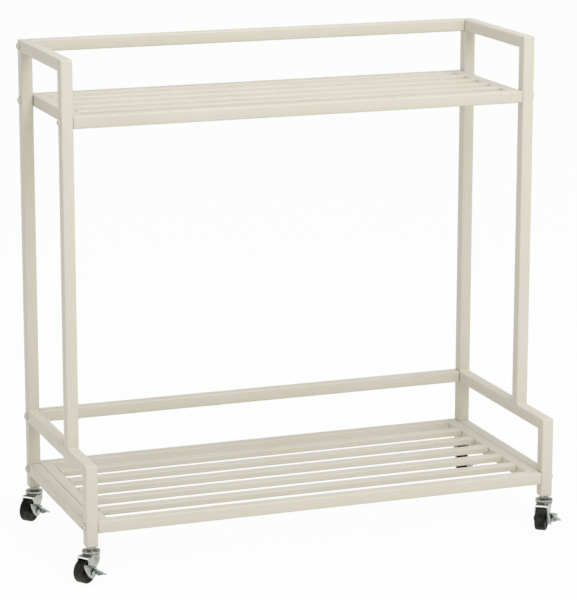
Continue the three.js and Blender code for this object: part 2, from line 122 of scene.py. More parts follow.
# Caster fork.
CROWN_TOP = 10.9 * MM
CROWN_BOTTOM = 13.0 * MM
CROWN_FRONT = 20.0 * MM
CROWN_LIP = 1.7 * MM
CROWN_ROLL = 1.2 * MM
LIP_EASE = 0.3 * MM
CUP_RADIUS = 13.4 * MM
CUP_INSIDE = 10.8 * MM
CUP_RISE = 1.1 * MM
CUP_ROUNDING = 0.8 * MM
CUP_RIM_EDGE = 0.5 * MM
CUP_RIM_DROP = 0.3 * MM
CUP_LAP = 0.1 * MM
SHEET = 1.5 * MM
LEG_OUTSIDE = 11.3 * MM
LEG_BEND = 2.4 * MM
LEG_SPARE = 8.0 * MM  # sheet below the axle, before the leg is cut to its outline
LEG_FRONT_DROP = 8.6 * MM
LEG_END_RADIUS = 6.0 * MM
LEG_WRAP = 126  # degrees round the leg's lower end
LEG_SWEEP = [  # (trail, drop) from the axle, up the leg's rear edge, in mm
    (-14.4, -3.1), (-18.5, -6.8), (-20.4, -9), (-21.9, -11.2), (-22.9, -13.1), (-23.6, -15)
]
LEG_ROOT = [(-8.5, 2.5), (-7.2, 0)]  # (trail, drop) under the crown, in mm
RIVET_HOLE_RADIUS = 4.3 * MM
RIVET_HOLE_REACH = 4.0 * MM
# a strip on the crown's front edge that carries a painted highlight
EDGE_INSET = 0.9 * MM
EDGE_PROUD = 0.15 * MM
EDGE_DEPTH = 0.6 * MM
EDGE_DROP = 0.7 * MM
EDGE_EASE = 0.12 * MM

# Caster wheel and axle.
WHEEL_HALF_WIDTH = 8.5 * MM
WHEEL_SHOULDER = 2.6 * MM
WHEEL_SIDE = [  # (radius, height out of the side) from the bore to the tread, in mm
    (2.8, 0), (3.1, 0.3), (5.6, 0.3), (6.1, 0), (6.6, -0.9), (7.4, -1.4), (13.4, -1.4),
    (14.1, -1.0), (14.5, 0),
]
TREAD_CROWN = 0.12 * MM
TREAD_FLAT = (0.25 * MM, 0.18 * MM)
WHEEL_STEPS = 72
AXLE_RADIUS = 2.5 * MM
AXLE_TIP = 0.1 * MM
AXLE_TIP_LENGTH = 0.5 * MM
AXLE_TIP_EASE = 0.4 * MM
AXLE_HEAD = [(0, 1.6), (1.6, 1.5), (3.2, 1.0), (4.5, 0.3), (4.5, 0)]  # (radius, height) in mm
AXLE_NUT_FLATS = 8.0 * MM
AXLE_NUT_HEIGHT = 1.9 * MM
AXLE_NUT_EASE = 0.3 * MM
AXLE_NUT_GAP = 0.8 * MM

# Brake lever.
LEVER_INSIDE = 13.5 * MM
LEVER_OUTSIDE = 15.5 * MM
LEVER_EASE = 0.4 * MM
LEVER_HUB_RADIUS = 7.0 * MM
LEVER_HUB_RISE = 0.5 * MM
LEVER_BORE_RADIUS = 2.8 * MM
LEVER_OUTLINE = [  # (trail, drop) from the axle: a curved nose and toe, in mm
    (18.3, -16.2), (18.2, -14), (17.6, -11), (16.6, -8), (15.2, -5), (13.4, -2), (11.3, 0.9),
    (8.9, 3.7), (6.2, 6.2), (3.4, 8.2), (0.4, 9.2), (-2.6, 9.2), (-5, 8.6), (-6.9, 7.2), (-8, 4.6),
    (-8.6, 1.2), (-8.6, -1.4), (-7.6, -4), (0, -8), (5.2, -11.4), (9.6, -13.8), (13.7, -15.4),
]
PEDAL_THICK = 1.9 * MM
PEDAL_EASE = 0.45 * MM
PEDAL_AT = (2.5 * MM, -9.7 * MM)  # (trail, drop) from the axle
PEDAL_ALONG = Vector((0, 0.815, -0.579)).normalized()
PEDAL_OUTLINE = [  # (along the lever's upper edge, outwards) in mm
    (-8, -1.5), (15, -1.5), (17.5, 0.6), (26, 9.4), (26, 11.8), (24.6, 13), (22.4, 13), (15, 10.4),
    (9, 8), (6.6, 7.3), (4.6, 7.6), (-0.5, 11), (-2.8, 12.1), (-5.2, 12.4), (-6.8, 11.6),
    (-7.5, 10),
]
WEB_CORNERS = [  # (outwards, trail, drop) from the axle and the lever's outer face, in mm
    (0, -9.7, -1), (9.5, -18.7, 5.4), (3.5, -9.1, 6.7), (0, -7.9, 4.4)
]
WEB_BACK = Vector((-1.1, 0.8, -0.6)) * MM
FINE_STEPS = 64
ROD_STEPS = 32
RIVET_STEPS = 40

# Dirt, wear, painted shade and painted sheen on the finishes.
SPECK_BROWN = (0.30, 0.26, 0.20)
# painted shade laid into the enamel's joints and inside corners
PAINTED_JOINT_SHADE = (0.20, 0.17, 0.13)
RUBBED_ZINC = (0.80, 0.80, 0.77)
# painted shade and dark painted reflection in the zinc's recesses, darkest on the race's top under
# the post
PAINTED_RECESS_SHADE = (0.045, 0.042, 0.036)
WHEEL_TINT = (0.004, 0.0037, 0.003)
# lighter patches on the wheel: partly dust, partly painted sheen
WHEEL_DUST_AND_SHEEN = (0.048, 0.046, 0.033)
WHEEL_EDGE = (0.055, 0.052, 0.043)

# Studio.
WHITE = (1, 1, 1, 1)
FLOOR_REACH = 30
FLOOR_WHITE = (0.86, 0.85, 0.80, 1)
FLOOR_GLOW_SHARE = 0.95
FILL_TINT = (1.0, 0.99, 0.97, 1)
FILL_LIGHT = 0.62
CEILING_EDGE = (0.15, 0.55)  # rise of a ray at which the ceiling starts and is full
CEILING_TINT = (0.12, 0.12, 0.12, 1)
LAMP_TINT = (0.97, 0.99, 1.0)
LAMPS = {  # name: (place, target, side in metres, watts)
    "key_light": (Vector((0.5, -2.5, 2.7)), Vector((0, 0, 0.7)), 1.8, 37),
    "top_light": (Vector((0.2, -0.3, 3.2)), Vector((0, 0, 0.4)), 2.0, 18),
}

# Camera of the photograph.
PHOTO_WIDTH, PHOTO_HEIGHT = 577, 600
CAMERA_AZIMUTH = math.radians(-20.353)
CAMERA_ELEVATION = math.radians(13.130)
CAMERA_ROLL = math.radians(0.053)
CAMERA_FOCAL_PX = 2732.4
CAMERA_AXIS_PX = (288.56, 299.16)
CAMERA_PLACE = Vector((-1.4777, -3.9766, 1.3644))
SENSOR = 36.0


# ---------------------------------------------------------------- mesh helpers


def made_piece(bm, name, material, body, *nodes, sharp=35):
    """The finished mesh as a piece that rides on a body and stands for its CAD nodes."""
    mesh = bpy.data.meshes.new(name)
    bm.to_mesh(mesh)
    bm.free()
    mesh.shade_smooth()
    mesh.set_sharp_from_angle(angle=math.radians(sharp))
    mesh.materials.append(material)
    piece = bpy.data.objects.new(name, mesh)
    bpy.context.scene.collection.objects.link(piece)
    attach(piece, body)
    if nodes:
        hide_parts(*nodes)
    return piece


def moved(bm, matrix):
    """The whole mesh placed by a matrix."""
    bmesh.ops.transform(bm, matrix=matrix, verts=bm.verts)
    return bm


def joined(*parts):
    """Several meshes as one."""
    whole = bmesh.new()
    for part in parts:
        mesh = bpy.data.meshes.new("part")
        part.to_mesh(mesh)
        part.free()
        whole.from_mesh(mesh)
        bpy.data.meshes.remove(mesh)
    return whole


def combined(base, tool, operation):
    """Union, difference or intersection of two closed meshes."""
    objects = []
    for bm in (base, tool):
        mesh = bpy.data.meshes.new("solid")
        bm.to_mesh(mesh)
        bm.free()
        objects.append(bpy.data.objects.new("solid", mesh))
        bpy.context.scene.collection.objects.link(objects[-1])
    cut = objects[0].modifiers.new("cut", "BOOLEAN")
    cut.operation = operation
    cut.solver = "EXACT"
    cut.object = objects[1]
    depsgraph = bpy.context.evaluated_depsgraph_get()
    result = bmesh.new()
    result.from_mesh(objects[0].evaluated_get(depsgraph).data)
    for item in objects:
        mesh = item.data
        bpy.data.objects.remove(item)
        bpy.data.meshes.remove(mesh)
    bmesh.ops.remove_doubles(result, verts=result.verts, dist=NEAR)
    return result


def only_verts(geometry):
    return [part for part in geometry if isinstance(part, bmesh.types.BMVert)]


def bevelled(bm, edges, offset, segments):
    bmesh.ops.bevel(
        bm,
        geom=edges,
        offset=offset,
        segments=segments,
        profile=0.5,
        affect="EDGES",
        material=-1,
    )


def trimmed(bm, point, normal):
    """Cuts away what lies beyond a plane and closes the cut."""
    everything = bm.verts[:] + bm.edges[:] + bm.faces[:]
    cut = bmesh.ops.bisect_plane(
        bm, geom=everything, plane_co=point, plane_no=normal, clear_outer=True
    )
    rim = [part for part in cut["geom_cut"] if isinstance(part, bmesh.types.BMEdge)]
    bmesh.ops.contextual_create(bm, geom=rim)


def box_between(low, high):
    bm = bmesh.new()
    bmesh.ops.create_cube(bm, size=1)
    bmesh.ops.scale(bm, vec=high - low, verts=bm.verts)
    bmesh.ops.translate(bm, vec=(low + high) / 2, verts=bm.verts)
    return bm


def plate(outline, thickness, ease=0):
    """A flat plate on an outline in the XY plane, from z = 0 up, its edges eased."""
    bm = bmesh.new()
    face = bm.faces.new([bm.verts.new((x, y, 0)) for x, y in outline])
    grown = bmesh.ops.extrude_face_region(bm, geom=[face])["geom"]
    bmesh.ops.translate(bm, vec=Z * thickness, verts=only_verts(grown))
    bmesh.ops.recalc_face_normals(bm, faces=bm.faces)
    if ease:
        rims = [e for e in bm.edges if abs(e.verts[0].co.z - e.verts[1].co.z) < VERY_NEAR]
        bevelled(bm, rims, ease, 2)
    return bm


def turned(profile, steps=FINE_STEPS):
    """A body of revolution about Z from an open profile of (radius, height) points."""
    bm = bmesh.new()
    verts = [bm.verts.new((r, 0, z)) for r, z in profile]
    edges = [bm.edges.new(pair) for pair in zip(verts, verts[1:])]
    bmesh.ops.spin(
        bm,
        geom=verts + edges,
        cent=(0, 0, 0),
        axis=Z,
        angle=math.tau,
        steps=steps,
        use_merge=True,
        use_duplicate=False,
    )
    bmesh.ops.remove_doubles(bm, verts=bm.verts, dist=VERY_NEAR)
    bmesh.ops.recalc_face_normals(bm, faces=bm.faces)
    return bm


def rod(radius, start, end, steps=ROD_STEPS):
    """A plain cylinder about Z between two heights."""
    return turned([(0, start), (radius, start), (radius, end), (0, end)], steps)


def arc(centre, radius, start, end, steps):
    """Points on an arc between two angles in degrees, ends included."""
    angles = [math.radians(start + (end - start) * i / steps) for i in range(steps + 1)]
    return [(centre[0] + radius * math.cos(a), centre[1] + radius * math.sin(a)) for a in angles]


def hexagon(flats):
    return arc((0, 0), flats / math.sqrt(3), 0, 300, 5)


# ---------------------------------------------------------------- materials


def shader_group(name, inputs, outputs):
    """An empty node group with named inputs (value or colour defaults) and outputs."""
    group = bpy.data.node_groups.new(name, "ShaderNodeTree")
    for title, default in inputs.items():
        kind = "NodeSocketColor" if isinstance(default, tuple) else "NodeSocketFloat"
        socket = group.interface.new_socket(title, in_out="INPUT", socket_type=kind)
        socket.default_value = default
    for title, kind in outputs.items():
        group.interface.new_socket(title, in_out="OUTPUT", socket_type=kind)
    return group, group.nodes.new("NodeGroupInput"), group.nodes.new("NodeGroupOutput")


def node(tree, kind, settings=None, **links):
    """A node with its settings, and its inputs by name or _number, as values or sockets."""
    made = tree.nodes.new(kind)
    for key, value in (settings or {}).items():
        setattr(made, key, value)
    for key, value in links.items():
        socket = made.inputs[int(key[1:]) if key[1:].isdigit() else key.replace("_", " ")]
        if isinstance(value, bpy.types.NodeSocket):
            tree.links.new(value, socket)
        else:
            socket.default_value = value
    return made


def noise(tree, place, scale, detail=3.0):
    return node(tree, "ShaderNodeTexNoise", Vector=place, Scale=scale, Detail=detail).outputs["Fac"]


def spread(tree, value, low, high, to_low=0.0, to_high=1.0):
    """A value's range mapped on to another."""
    links = {"Value": value, "From_Min": low, "From_Max": high, "To_Min": to_low, "To_Max": to_high}
    return node(tree, "ShaderNodeMapRange", **links).outputs["Result"]


def arithmetic(tree, operation, first, second):
    return node(tree, "ShaderNodeMath", {"operation": operation}, _0=first, _1=second).outputs[0]


def blended(tree, factor, first, second):
    """Two colours mixed, through the colour sockets of a Mix node."""
    mix = node(tree, "ShaderNodeMix", {"data_type": "RGBA"}, _0=factor, _6=first, _7=second)
    return mix.outputs[2]


def layered(tree, under, mask, share, colour):
    """A colour laid over another where a mask says, at a share of its full strength."""
    return blended(tree, arithmetic(tree, "MULTIPLY", mask, share), under, (*colour, 1))


def edge_group():
    """How near a point is to an outside edge, broken up as handling breaks up a finish."""
    group, inputs, outputs = shader_group(
        "worn edges", {"Radius": 0.001, "Breakup": 300.0}, {"Mask": "NodeSocketFloat"}
    )
    round_off = node(group, "ShaderNodeBevel", {"samples": 4}, Radius=inputs.outputs["Radius"])
    surface = node(group, "ShaderNodeNewGeometry")
    dot = node(
        group, "ShaderNodeVectorMath", {"operation": "DOT_PRODUCT"},
        _0=round_off.outputs[0], _1=surface.outputs["Normal"],
    )
    turn = spread(group, dot.outputs["Value"], 0.995, 0.88)
    place = node(group, "ShaderNodeTexCoord").outputs["Object"]
    patches = noise(group, place, inputs.outputs["Breakup"])
    broken = arithmetic(group, "MULTIPLY", turn, spread(group, patches, 0.35, 0.65))
    group.links.new(broken, outputs.inputs["Mask"])
    return group


def grain_group():
    """Fine surface unevenness: a broad wave and a fine grain, as one height."""
    group, inputs, outputs = shader_group(
        "uneven finish", {"Fine": 900.0, "Broad": 60.0, "Share": 0.4}, {"Height": "NodeSocketFloat"}
    )
    place = node(group, "ShaderNodeTexCoord").outputs["Object"]
    fine = noise(group, place, inputs.outputs["Fine"], 2.0)
    broad = noise(group, place, inputs.outputs["Broad"], 1.0)
    part = arithmetic(group, "MULTIPLY", broad, inputs.outputs["Share"])
    group.links.new(arithmetic(group, "ADD", fine, part), outputs.inputs["Height"])
    return group


def soil_group():
    """Sparse specks and faint broad staining over a finish."""
    group, inputs, outputs = shader_group(
        "specks and stains", {"Speck": 500.0, "Stain": 9.0},
        {"Specks": "NodeSocketFloat", "Stains": "NodeSocketFloat"},
    )
    place = node(group, "ShaderNodeTexCoord").outputs["Object"]
    specks = spread(group, noise(group, place, inputs.outputs["Speck"], 1.0), 0.74, 0.8)
    stains = spread(group, noise(group, place, inputs.outputs["Stain"], 4.0), 0.35, 0.7)
    group.links.new(specks, outputs.inputs["Specks"])
    group.links.new(stains, outputs.inputs["Stains"])
    return group


def crevice_shade_group():
    """How deep a point lies in a joint or an inside corner: a mask for painted shade there."""
    group, inputs, outputs = shader_group(
        "painted shade in joints and corners", {"Reach": 0.003}, {"Mask": "NodeSocketFloat"}
    )
    reach = inputs.outputs["Reach"]
    open_share = node(group, "ShaderNodeAmbientOcclusion", {"samples": 6}, Distance=reach)
    closed = spread(group, open_share.outputs["AO"], 0.72, 0.1)
    group.links.new(closed, outputs.inputs["Mask"])
    return group


EDGES, GRAIN, SOIL, CREVICE_SHADE = edge_group(), grain_group(), soil_group(), crevice_shade_group()


def finish_base(name, slot, colour, roughness, metallic, **constants):
    """A material with a Principled shader, and its tree and shader to build on."""
    material = bpy.data.materials.new(name)
    material.use_nodes = True
    material["slot"] = slot
    shader = material.node_tree.nodes["Principled BSDF"]
    shader.inputs["Base Color"].default_value = (*colour, 1)
    shader.inputs["Roughness"].default_value = roughness
    shader.inputs["Metallic"].default_value = metallic
    for key, value in constants.items():
        shader.inputs[key.replace("_", " ")].default_value = value
    return material, material.node_tree, shader


def used(tree, group, **values):
    """A shader group placed in a material with its own values."""
    made = tree.nodes.new("ShaderNodeGroup")
    made.node_tree = group
    for key, value in values.items():
        made.inputs[key].default_value = value
    return made


def bumped(tree, shader, height, distance, strength):
    bump = node(tree, "ShaderNodeBump", Height=height, Distance=distance, Strength=strength)
    tree.links.new(bump.outputs["Normal"], shader.inputs["Normal"])


def enamel(name, slot, colour, stain, edge):
    """Baked enamel: faint orange peel, slight staining, edges thinned where it flowed away."""
    material, tree, shader = finish_base(name, slot, colour, 0.42, 0.0)
    soil = used(tree, SOIL, Speck=420.0, Stain=7.0)
    worn = used(tree, EDGES, Radius=0.9 * MM, Breakup=160.0)
    # painted shade: a mask of joints and inside corners within about 3 mm, darkened with the joint
    # colour below
    joints = used(tree, CREVICE_SHADE, Reach=3.2 * MM)
    grain = used(tree, GRAIN, Fine=700.0, Broad=110.0, Share=0.8)
    tint = layered(tree, (*colour, 1), soil.outputs["Stains"], 0.35, stain)
    tint = layered(tree, tint, worn.outputs["Mask"], 0.5, edge)
    tint = layered(tree, tint, soil.outputs["Specks"], 0.22, SPECK_BROWN)
    tint = layered(tree, tint, joints.outputs["Mask"], 0.6, PAINTED_JOINT_SHADE)
    tree.links.new(tint, shader.inputs["Base Color"])
    rough = spread(tree, grain.outputs["Height"], 0.5, 1.2, 0.36, 0.5)
    tree.links.new(rough, shader.inputs["Roughness"])
    bumped(tree, shader, grain.outputs["Height"], 0.12 * MM, 0.35)
    return material


def zinc(name, slot, colour, shade, roughness):
    """Zinc plate: bright metal with a cloudy passivated film and fine handling scratches."""
    material, tree, shader = finish_base(name, slot, colour, roughness, 1.0)
    worn = used(tree, EDGES, Radius=0.5 * MM, Breakup=500.0)
    # painted shade and dark painted reflection: within about 7 mm of recesses the zinc goes nearly
    # black
    joints = used(tree, CREVICE_SHADE, Reach=7.0 * MM)
    place = node(tree, "ShaderNodeTexCoord").outputs["Object"]
    cloud = spread(tree, noise(tree, place, 150.0), 0.3, 0.75)
    tint = blended(tree, cloud, (*colour, 1), (*shade, 1))
    tint = layered(tree, tint, worn.outputs["Mask"], 0.5, RUBBED_ZINC)
    tint = layered(tree, tint, joints.outputs["Mask"], 0.9, PAINTED_RECESS_SHADE)
    tree.links.new(tint, shader.inputs["Base Color"])
    streaks = node(tree, "ShaderNodeMapping", Vector=place, Scale=(1.0, 1.0, 9.0))
    scratch = noise(tree, streaks.outputs[0], 700.0, 2.0)
    rough = spread(tree, scratch, 0.3, 0.7, roughness - 0.07, roughness + 0.13)
    tree.links.new(rough, shader.inputs["Roughness"])
    bumped(tree, shader, scratch, 0.05 * MM, 0.3)
    return material


def wheel_finish():
    """Moulded black wheel: slightly brown, lighter in patches of dust and painted sheen, fine
    scuffs on its tread.
    """
    material, tree, shader = finish_base(
        "wheel_black", "wheel_plastic", WHEEL_TINT, 0.42, 0.0, Specular_IOR_Level=0.2
    )
    soil = used(tree, SOIL, Speck=900.0, Stain=70.0)
    worn = used(tree, EDGES, Radius=0.8 * MM, Breakup=350.0)
    grain = used(tree, GRAIN, Fine=1500.0, Broad=250.0, Share=0.5)
    # lighter random patches: partly dust, partly painted sheen
    dust_and_sheen = spread(tree, soil.outputs["Stains"], 0.15, 0.85, 0.0, 0.85)
    tint = blended(tree, dust_and_sheen, (*WHEEL_TINT, 1), (*WHEEL_DUST_AND_SHEEN, 1))
    tint = layered(tree, tint, worn.outputs["Mask"], 0.4, WHEEL_EDGE)
    tree.links.new(tint, shader.inputs["Base Color"])
    rough = spread(tree, grain.outputs["Height"], 0.4, 1.0, 0.34, 0.56)
    tree.links.new(rough, shader.inputs["Roughness"])
    bumped(tree, shader, grain.outputs["Height"], 0.1 * MM, 0.4)
    return material


CREAM = enamel(
    "cream_enamel", "cream_enamel", (0.762, 0.728, 0.640), (0.70, 0.655, 0.545), (0.80, 0.77, 0.68)
)
BOLT_CREAM = enamel(
    "bolt_enamel", "bolt_enamel", (0.78, 0.75, 0.66), (0.68, 0.64, 0.54), (0.70, 0.68, 0.62)
)
ZINC = zinc("caster_zinc", "caster_zinc", (0.58, 0.585, 0.55), (0.33, 0.335, 0.30), 0.22)
# a much lighter copy of the zinc: painted highlight on the fork's front edge
PAINTED_HIGHLIGHT_ZINC = zinc("painted_highlight_zinc", "caster_zinc", (0.95, 0.95, 0.93), (0.88, 0.88, 0.86), 0.3)
LEVER_ZINC = zinc("lever_zinc", "lever_zinc", (0.52, 0.565, 0.53), (0.36, 0.41, 0.38), 0.25)
WHEEL_BLACK = wheel_finish()


# ---------------------------------------------------------------- enamelled frame


def tube_skin(
    low, high, axis, corner,
    ease_low=BUTT_EASE, ease_high=BUTT_EASE, reach_low=None, reach_high=None,
):
    """A tube between two corners of its box. An end with a reach is mitred, longest there."""
    bm = box_between(low, high)
    middle = (low + high) / 2
    half = (high - low) / 2
    ends = ((low, reach_low, ease_low, -1), (high, reach_high, ease_high, 1))
    mitred = [(end, reach, sign) for end, reach, _, sign in ends if reach is not None]
    along = [e for e in bm.edges if abs((e.verts[0].co - e.verts[1].co)[axis]) > NEAR]
    bevelled(bm, along, corner, CORNER_SEGMENTS)
    for end, reach, sign in mitred:
        for vert in bm.verts:
            if abs(vert.co[axis] - end[axis]) < NEAR:
                offset = (vert.co - middle).dot(reach)
                vert.co[axis] -= sign * (TUBE / 2 - offset - MITRE_FILL)
    for end, reach, ease, _ in ends:
        if reach is None and ease:
            rim = [e for e in bm.edges if all(abs(v.co[axis] - end[axis]) < NEAR for v in e.verts)]
            bevelled(bm, rim, ease, EASE_SEGMENTS)
    for _, reach, sign in mitred:
        outward = Vector((0, 0, 0))
        outward[axis] = sign
        tip = middle + outward * half[axis] + reach * TUBE / 2
        centre = tip - (outward + reach) * TIP_ROUNDING
        for angle in map(math.radians, TIP_TURNS):
            normal = reach * math.cos(angle) + outward * math.sin(angle)
            trimmed(bm, centre + normal * TIP_ROUNDING, normal)
    return bm


def enamel_tube(name, axis, **ends):
    low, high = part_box(name)
    skin = tube_skin(low, high, axis, TUBE_CORNER, **ends)
    made_piece(skin, name + "_skin", CREAM, "cart_frame", name)


def side_frame(side):
    front = -Y
    enamel_tube(side + "_rear_upright", 2, ease_low=FOOT_ROUNDING, reach_high=Y)
    enamel_tube(side + "_front_upright", 2, ease_low=0, reach_high=front)
    enamel_tube(side + "_front_post", 2, ease_low=FOOT_ROUNDING, reach_high=front)
    enamel_tube(side + "_top_rail", 1, reach_low=Z, reach_high=Z)
    enamel_tube(side + "_middle_rail", 1, ease_high=0, reach_low=Z)
    enamel_tube(side + "_bottom_rail", 1, ease_low=0, ease_high=0)


def weld_bead(name, place, up, out):
    """A fillet of weld across the tube's width, filling the corner between two faces at place."""
    bm = bmesh.new()
    half = TUBE / 2 - TUBE_CORNER * WELD_INSET
    side = up.cross(out)
    hollow = (up + out) * WELD_SIZE
    turns = [math.radians(90 * i / WELD_STEPS) for i in range(WELD_STEPS + 1)]
    cove = [hollow - up * WELD_SIZE * math.cos(a) - out * WELD_SIZE * math.sin(a) for a in turns]
    root = -(up + out) * WELD_SIZE * WELD_ROOT
    face = bm.faces.new([bm.verts.new(place + side * -half + p) for p in [root, *cove]])
    grown = bmesh.ops.extrude_face_region(bm, geom=[face])["geom"]
    bmesh.ops.translate(bm, vec=side * 2 * half, verts=only_verts(grown))
    bmesh.ops.recalc_face_normals(bm, faces=bm.faces)
    made_piece(bm, name, CREAM, "cart_frame", sharp=50)


def side_welds(side):
    """Fillets where one tube of a side frame stands against another."""
    upright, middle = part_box(side + "_front_upright"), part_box(side + "_middle_rail")
    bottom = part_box(side + "_bottom_rail")
    x = (upright[0].x + upright[1].x) / 2
    foot = upright[0].z
    corners = (
        ("upright_front", upright[0].y, foot, Z, -Y),
        ("upright_rear", upright[1].y, foot, Z, Y),
        ("middle_top", middle[1].y, middle[1].z, Z, -Y),
        ("middle_under", middle[1].y, middle[0].z, -Z, -Y),
        ("bottom_rear", bottom[1].y, bottom[0].z, -Z, -Y),
        ("bottom_front", bottom[0].y, bottom[0].z, -Z, Y),
    )
    for name, y, z, up, out in corners:
        weld_bead(f"{side}_weld_{name}", Vector((x, y, z)), up, out)


def shelf_frame(name):
    """The welded border of a shelf: two long rails, and two end bars let into them by half."""
    low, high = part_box(name)
    front = tube_skin(low, Vector((high.x, low.y + TUBE, high.z)), 0, TUBE_CORNER)
    back = tube_skin(Vector((low.x, high.y - TUBE, low.z)), high, 0, TUBE_CORNER)
    whole = combined(front, back, "UNION")
    sunk = Y * TUBE / 2
    for x in (low.x, high.x - TUBE):
        bar_low = Vector((x, low.y, low.z)) + sunk
        bar_high = Vector((x + TUBE, high.y, high.z)) - sunk
        bar = tube_skin(bar_low, bar_high, 1, TUBE_CORNER, ease_low=0, ease_high=0)
        whole = combined(whole, bar, "UNION")
    made_piece(whole, name + "_skin", CREAM, "cart_frame", name)


def slat(name):
    low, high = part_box(name)
    made_piece(tube_skin(low, high, 0, SLAT_CORNER), name + "_skin", CREAM, "cart_frame", name)


def bolt_head(name):
    """A domed head with a flange and a hexagonal socket, on the outer face of a side frame."""
    low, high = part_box(name)
    sign = 1 if low.x > 0 else -1
    centre = Vector((sign * SIDE_FACE_X, (low.y + high.y) / 2, (low.z + high.z) / 2))
    radius = BOLT_HEAD_RADIUS
    height = BOLT_HEAD_HEIGHT
    turns = [math.radians(90 * i / DOME_STEPS) for i in range(DOME_STEPS)]
    rise = height - BOLT_FLANGE
    dome = [(radius * math.cos(a), BOLT_FLANGE + rise * math.sin(a)) for a in turns]
    profile = [(0, 0), (radius - BOLT_RIM_EASE, 0), (radius, BOLT_RIM_EASE), *dome, (0, height)]
    socket = plate(hexagon(SOCKET_FLATS), 2 * SOCKET_DEPTH)
    moved(socket, Matrix.Translation(Z * (height - SOCKET_DEPTH)))
    head = combined(turned(profile, BOLT_STEPS), socket, "DIFFERENCE")
    shank = rod(BOLT_SHANK_RADIUS, -BOLT_SHANK_LENGTH, 0, BOLT_STEPS // 2)
    outward = Matrix.Translation(centre) @ Z.rotation_difference(X * sign).to_matrix().to_4x4()
    bolt = moved(joined(head, shank), outward)
    made_piece(bolt, name + "_head", BOLT_CREAM, "cart_frame", name)


# ---------------------------------------------------------------- casters


def caster_frame(corner):
    """Where a caster goes: X along its axle, -Y towards its wheel, z = 0 at the post's foot."""
    joints = {joint["name"]: joint for joint in frame["joints"]}
    swivel = Vector(joints[corner + "_swivel"]["pos_m"])
    spin = joints[corner + "_wheel_spin"]
    across = Vector(spin["axis"]).normalized()
    place = Matrix.Translation(Vector((swivel.x, swivel.y, POST_FOOT)))
    place = place @ Matrix((across, Z.cross(across), Z)).transposed().to_4x4()
    axle = place.inverted() @ Vector(spin["pos_m"])
    return place, -axle.y, -axle.z


def stood_on_edge(bm, offset):
    """A plate drawn as (trail, drop) set upright across the axle, its near face at the offset."""
    turn = Matrix(((0, 0, 1, offset), (-1, 0, 0, 0), (0, -1, 0, 0), (0, 0, 0, 1)))
    return moved(bm, turn)


def along_axle(bm, trail, drop):
    """A turned part's Z set along the axle."""
    axle = Matrix.Translation(Vector((0, -trail, -drop)))
    return moved(bm, axle @ Matrix.Rotation(math.pi / 2, 4, "Y"))


def jam_nut():
    """The hexagonal nut over the race, its corners cut back by a cone at both ends."""
    nut = plate(hexagon(NUT_FLATS), NUT_HEIGHT)
    middle = NUT_FLATS / 2 + NUT_CONE
    small, large = middle - NUT_CHAMFER, middle + NUT_CHAMFER
    top = NUT_HEIGHT - NUT_CHAMFER
    profile = [(0, 0), (small, 0), (large, NUT_CHAMFER), (large, top)]
    profile += [(small, NUT_HEIGHT), (0, NUT_HEIGHT)]
    cut = combined(nut, turned(profile, BOLT_STEPS), "INTERSECT")
    return moved(cut, Matrix.Translation(Z * -NUT_HEIGHT))


def race():
    """The race: a dished top, a rolled rim, a hollow under it and a hub down to the fork."""
    roll = RACE_ROLL
    hollow = -RACE_LIP + RACE_HOLLOW
    hub = -CROWN_TOP + CLEARANCE
    slope = (RACE_SLOPE_RADIUS, -RACE_TOP - RACE_SLOPE_DROP)
    profile = [(0, -RACE_TOP), (RACE_FLAT_RADIUS, -RACE_TOP), slope]
    profile += arc((RACE_RADIUS - roll, -RACE_SHOULDER - roll * 0.6), roll, 78, 0, 5)
    profile += arc((RACE_RADIUS - roll, -RACE_LIP + roll), roll, 0, -90, 5)
    profile += [(RACE_RADIUS - RACE_RIM, -RACE_LIP), (RACE_RADIUS - RACE_WALL, hollow)]
    profile += [(RACE_HUB_RADIUS + RACE_HUB_LEAN, hollow), (RACE_HUB_RADIUS, hub), (0, hub)]
    return turned(profile)


def rivet():
    """The rivet that holds the fork, its head rounded under the crown."""
    top = -CROWN_BOTTOM - CLEARANCE
    foot = top - RIVET_HEIGHT
    centre = (RIVET_RADIUS - RIVET_ROUNDING, top - RIVET_ROUNDING)
    profile = [(0, foot), (RIVET_TIP_RADIUS, foot), *arc(centre, RIVET_ROUNDING, -60, 0, 3)]
    profile += [(RIVET_RADIUS, top), (STEM_RADIUS, top), (STEM_RADIUS, -CROWN_TOP), (0, -CROWN_TOP)]
    return turned(profile, RIVET_STEPS)


def stem_and_race(corner, place):
    """What stays with the post: jam nut, collar, race, rivet and the stem inside the post."""
    low, high = -RACE_TOP - COLLAR_SINK, -NUT_HEIGHT - COLLAR_SINK
    collar = [(0, low), (COLLAR_RADIUS, low), (COLLAR_RADIUS, high)]
    collar += [(COLLAR_RADIUS - COLLAR_EASE, -NUT_HEIGHT), (0, -NUT_HEIGHT)]
    stem = [(0, 0), (STEM_RADIUS, 0), (STEM_RADIUS, STEM_RISE - STEM_TIP)]
    stem += [(STEM_RADIUS - STEM_TIP_EASE, STEM_RISE), (0, STEM_RISE)]
    parts = joined(jam_nut(), turned(collar), race(), rivet(), turned(stem, ROD_STEPS))
    made_piece(
        moved(parts, place), corner + "_stem_and_race", ZINC, "cart_frame", corner + "_caster_stem"
    )


def leg_outline(trail, drop):
    """Side view of the fork as (trail, drop): square at the crown, swept back to the axle."""
    roll = arc((CROWN_FRONT - CROWN_ROLL, CROWN_TOP + CROWN_ROLL), CROWN_ROLL, -90, 0, 8)
    front = [(0, CROWN_TOP), *roll, (CROWN_FRONT, CROWN_BOTTOM + LEG_FRONT_DROP)]
    end = arc((trail, drop), LEG_END_RADIUS, 0, LEG_WRAP, 10)
    rear = [(trail + t * MM, drop + h * MM) for t, h in LEG_SWEEP]
    root = [(t * MM, CROWN_BOTTOM + h * MM) for t, h in LEG_ROOT]
    return front + end + rear + root + [(root[-1][0], CROWN_TOP)]


